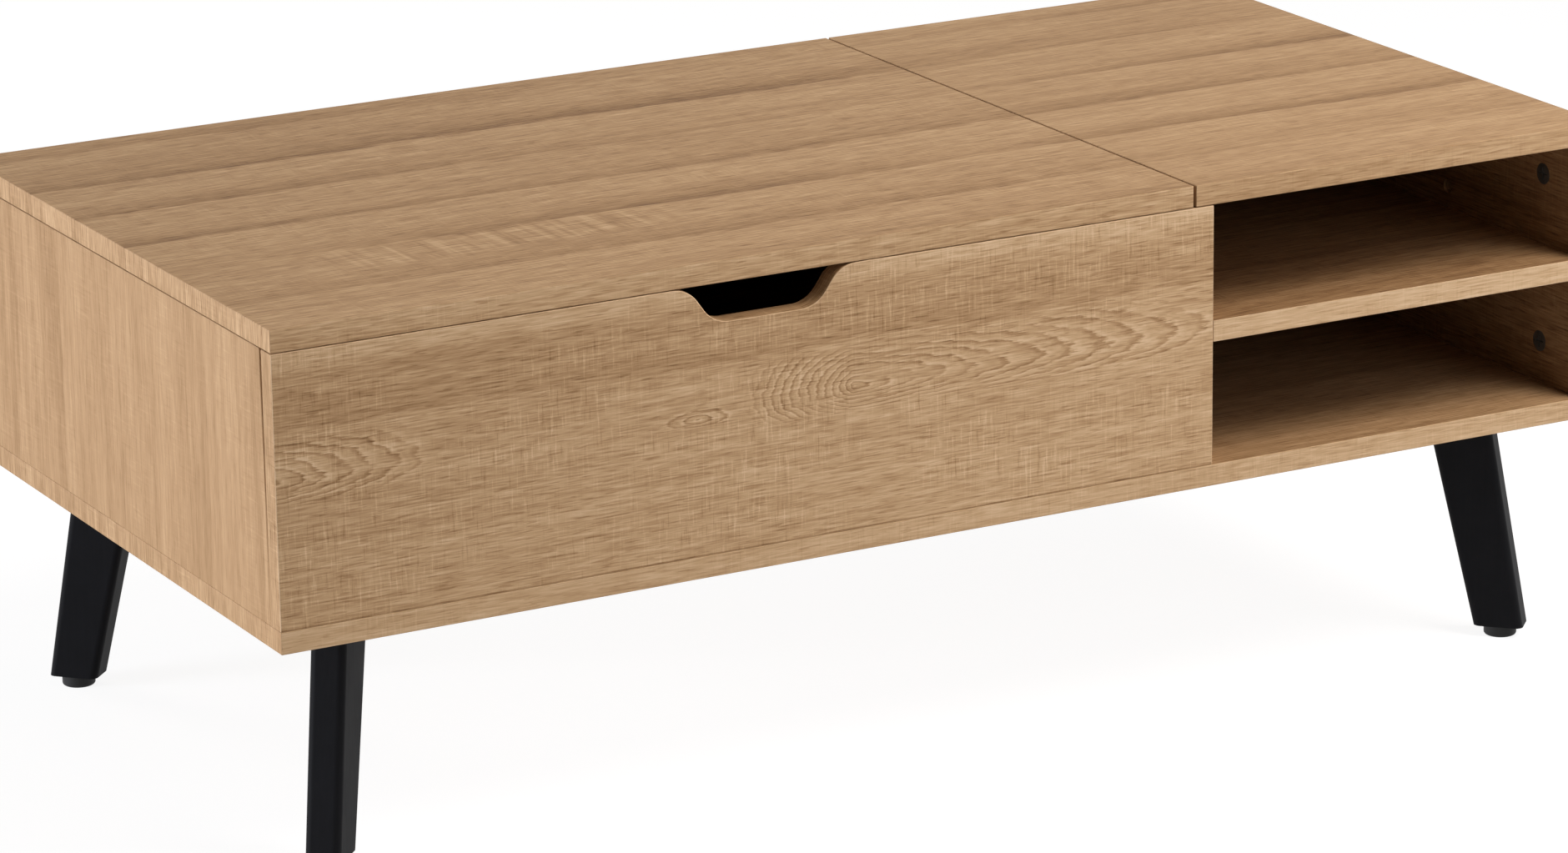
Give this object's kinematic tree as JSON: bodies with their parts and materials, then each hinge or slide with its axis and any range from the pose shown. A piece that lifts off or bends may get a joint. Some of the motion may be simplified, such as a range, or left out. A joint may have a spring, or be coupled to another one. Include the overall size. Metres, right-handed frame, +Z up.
{
  "type": "lift-top coffee table",
  "caption": "Oak-look coffee table on splayed black legs: the larger top board lifts up and forward on parallel-arm hinges over hidden storage, beside an open compartment with a shelf.",
  "frame": {"origin": "centre of the footprint, on the floor", "axes": "+X along the table to the open compartment's end, +Y to the back, +Z up; the front faces -Y"},
  "size_m": [1, 0.5, 0.374],
  "materials": {
    "oak_foil_board": "matt embossed oak foil",
    "black_lacquered_wood": "satin lacquer",
    "black_plastic": "matt",
    "black_coated_steel": "black powder coat",
    "zinc_plated_steel": "zinc plated",
    "spring_steel": "drawn wire",
    "zinc_alloy": "die cast",
    "beech": "plain",
    "nylon": "natural"
  },
  "bodies": {
    "carcass": {"bottom_panel": "oak_foil_board", "left_side_panel": "oak_foil_board", "divider_panel": "oak_foil_board", "right_side_panel": "oak_foil_board", "front_panel": "oak_foil_board", "back_panel": "oak_foil_board", "middle_shelf": "oak_foil_board", "fixed_top": "oak_foil_board", "front_left_leg": "black_lacquered_wood", "front_left_glide": "black_plastic", "front_right_leg": "black_lacquered_wood", "front_right_glide": "black_plastic", "rear_right_leg": "black_lacquered_wood", "rear_right_glide": "black_plastic", "rear_left_leg": "black_lacquered_wood", "rear_left_glide": "black_plastic", "left_base_bracket": "black_coated_steel", "right_base_bracket": "black_coated_steel", "cam_locks": "zinc_alloy", "cam_bolts": "zinc_plated_steel", "joint_dowels": "beech", "leg_dowels": "beech", "leg_hanger_bolts": "zinc_plated_steel", "leg_inserts": "zinc_alloy", "glide_screws": "zinc_plated_steel", "base_bracket_screws": "zinc_plated_steel", "base_pivot_studs": "zinc_plated_steel", "base_pivot_washers": "nylon", "lift_stop_pins": "zinc_plated_steel", "spring_anchor_posts": "zinc_plated_steel", "left_lift_spring": "spring_steel", "right_lift_spring": "spring_steel"},
    "left_front_arm": {"left_front_arm": "black_coated_steel"},
    "left_rear_arm": {"left_rear_arm": "black_coated_steel", "left_spring_post": "zinc_plated_steel"},
    "right_front_arm": {"right_front_arm": "black_coated_steel"},
    "right_rear_arm": {"right_rear_arm": "black_coated_steel", "right_spring_post": "zinc_plated_steel"},
    "lift_top": {"lift_top": "oak_foil_board", "left_top_bracket": "black_coated_steel", "right_top_bracket": "black_coated_steel", "top_bracket_screws": "zinc_plated_steel", "top_pivot_studs": "zinc_plated_steel", "top_pivot_washers": "nylon"}
  },
  "joints": [
    {"name": "left_front_arm_pivot", "type": "hinge", "parent": "carcass", "child": "left_front_arm", "pos_m": [-0.479, -0.108, 0.2585], "axis": [1, 0, 0], "range_deg": [0, 102]},
    {"name": "left_rear_arm_pivot", "type": "hinge", "parent": "carcass", "child": "left_rear_arm", "pos_m": [-0.479, -0.05454, 0.23126], "axis": [1, 0, 0], "range_deg": [0, 102], "deforming": ["left_lift_spring"]},
    {"name": "right_front_arm_pivot", "type": "hinge", "parent": "carcass", "child": "right_front_arm", "pos_m": [0.164, -0.108, 0.2585], "axis": [1, 0, 0], "range_deg": [0, 102]},
    {"name": "right_rear_arm_pivot", "type": "hinge", "parent": "carcass", "child": "right_rear_arm", "pos_m": [0.164, -0.05454, 0.23126], "axis": [1, 0, 0], "range_deg": [0, 102], "deforming": ["right_lift_spring"]},
    {"name": "lift_top_pivot", "type": "hinge", "parent": "left_front_arm", "child": "lift_top", "pos_m": [-0.479, 0.13654, 0.31048], "axis": [1, 0, 0], "range_deg": [-102, 0]}
  ],
  "couplings": [
    {"joint": "lift_top_pivot", "follows": "left_front_arm_pivot", "ratio": -1},
    {"joint": "left_rear_arm_pivot", "follows": "left_front_arm_pivot", "ratio": 1},
    {"joint": "right_front_arm_pivot", "follows": "left_front_arm_pivot", "ratio": 1},
    {"joint": "right_rear_arm_pivot", "follows": "left_front_arm_pivot", "ratio": 1}
  ]
}
